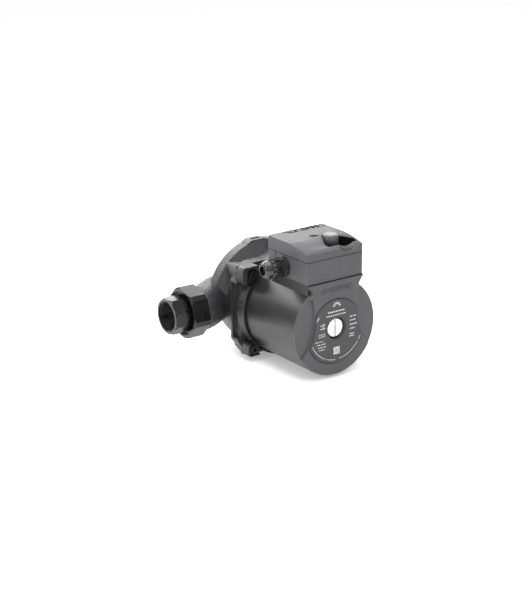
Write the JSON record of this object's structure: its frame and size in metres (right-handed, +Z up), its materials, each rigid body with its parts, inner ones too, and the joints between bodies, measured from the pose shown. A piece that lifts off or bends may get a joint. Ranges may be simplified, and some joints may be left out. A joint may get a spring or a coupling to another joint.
{
  "type": "circulator pump",
  "caption": "Wet-rotor heating circulator pump with an in-line volute, union fittings at both ports, a round motor and a terminal box with a speed knob.",
  "frame": {"origin": "where the pipe's centre line crosses the motor shaft's centre line, midway between the two port faces", "axes": "+X along the pipe from inlet to outlet, +Y along the shaft away from the nameplate, +Z up with the terminal box on top"},
  "size_m": [0.2468, 0.1857, 0.1492],
  "materials": {
    "cast_black": "satin black paint on a sand casting",
    "motor_black": "smooth gloss black paint on die-cast aluminium",
    "union_black": "gloss black coating on machined brass",
    "box_plastic": "fine textured charcoal plastic",
    "label": "dark grey printed foil",
    "plug_nickel": "bright nickel plate",
    "screw_black": "black oxide",
    "gland_plastic": "gloss black nylon",
    "knob_plastic": "mid grey plastic",
    "seal_rubber": "black rubber",
    "gasket_fibre": "dark gasket material",
    "stainless": "bright stainless steel",
    "carbon": "carbon bearing material",
    "ceramic": "polished ceramic",
    "laminations": "stacked steel sheet",
    "copper": "enamelled copper wire",
    "impeller_plastic": "glass filled plastic",
    "brass": "plain brass",
    "capacitor_can": "light plastic can",
    "terminal_plastic": "light grey plastic"
  },
  "bodies": {
    "pump": {"pump_housing": "cast_black", "wear_ring": "stainless", "housing_gasket": "gasket_fibre", "bearing_plate": "stainless", "plate_bearing": "carbon", "rotor_can": "stainless", "can_bearing": "carbon", "bearing_holder": "seal_rubber", "stator_core": "laminations", "stator_windings": "copper", "stator_housing": "motor_black", "motor_screws": "screw_black", "end_cover": "box_plastic", "nameplate": "label", "terminal_gasket": "seal_rubber", "terminal_base": "box_plastic", "base_screws": "stainless", "terminal_lid": "box_plastic", "lid_screw": "screw_black", "speed_switch": "terminal_plastic", "capacitor": "capacitor_can", "terminal_block": "terminal_plastic", "terminal_screws": "brass", "earth_screw": "brass", "gland_washer": "gland_plastic", "gland_body": "gland_plastic", "gland_seal": "seal_rubber", "inlet_gasket": "gasket_fibre", "outlet_gasket": "gasket_fibre"},
    "rotor": {"shaft": "ceramic", "rotor_core": "laminations", "rotor_sleeve": "stainless", "rotor_end_rings": "copper", "thrust_ring": "carbon", "impeller": "impeller_plastic", "impeller_nut": "stainless"},
    "speed_knob": {"speed_knob": "knob_plastic", "switch_spindle": "terminal_plastic"},
    "vent_seal": {"vent_seal": "seal_rubber"},
    "vent_plug": {"vent_plug": "plug_nickel"},
    "inlet_tail": {"inlet_tailpiece": "union_black"},
    "inlet_nut": {"inlet_nut": "union_black"},
    "outlet_tail": {"outlet_tailpiece": "union_black"},
    "outlet_nut": {"outlet_nut": "union_black"},
    "gland_ring": {"gland_thrust_ring": "gland_plastic"},
    "gland_nut": {"gland_nut": "gland_plastic"}
  },
  "joints": [
    {"name": "rotor_spin", "type": "hinge", "parent": "pump", "child": "rotor", "pos_m": [0, 0, 0], "axis": [0, -1, 0], "continuous": true},
    {"name": "speed_knob_turn", "type": "hinge", "parent": "pump", "child": "speed_knob", "pos_m": [0.0134, -0.1088, 0], "axis": [0, 0, 1], "range_deg": [0, 120]},
    {"name": "vent_seal_slide", "type": "slide", "parent": "pump", "child": "vent_seal", "axis": [0, -1, 0], "range_m": [0, 0.0121]},
    {"name": "vent_plug_turn", "type": "hinge", "parent": "vent_seal", "child": "vent_plug", "pos_m": [0, -0.13, 0], "axis": [0, -1, 0], "range_deg": [0, 2880]},
    {"name": "inlet_tail_slide", "type": "slide", "parent": "pump", "child": "inlet_tail", "axis": [-1, 0, 0], "range_m": [0, 0.00703]},
    {"name": "inlet_nut_turn", "type": "hinge", "parent": "inlet_tail", "child": "inlet_nut", "pos_m": [-0.09, 0, 0], "axis": [-1, 0, 0], "range_deg": [0, 1080]},
    {"name": "outlet_tail_slide", "type": "slide", "parent": "pump", "child": "outlet_tail", "axis": [1, 0, 0], "range_m": [0, 0.00703]},
    {"name": "outlet_nut_turn", "type": "hinge", "parent": "outlet_tail", "child": "outlet_nut", "pos_m": [0.09, 0, 0], "axis": [1, 0, 0], "range_deg": [0, 1080]},
    {"name": "gland_ring_slide", "type": "slide", "parent": "pump", "child": "gland_ring", "axis": [-1, 0, 0], "range_m": [0, 0.0106]},
    {"name": "gland_nut_turn", "type": "hinge", "parent": "gland_ring", "child": "gland_nut", "pos_m": [-0.045, -0.0945, 0.0642], "axis": [-1, 0, 0], "range_deg": [0, 2520]}
  ],
  "couplings": [
    {"joint": "vent_seal_slide", "follows": "vent_plug_turn", "m_per_rad": 0.00023873},
    {"joint": "inlet_tail_slide", "follows": "inlet_nut_turn", "m_per_rad": 0.00036749},
    {"joint": "outlet_tail_slide", "follows": "outlet_nut_turn", "m_per_rad": 0.00036749},
    {"joint": "gland_ring_slide", "follows": "gland_nut_turn", "m_per_rad": 0.00023873}
  ]
}
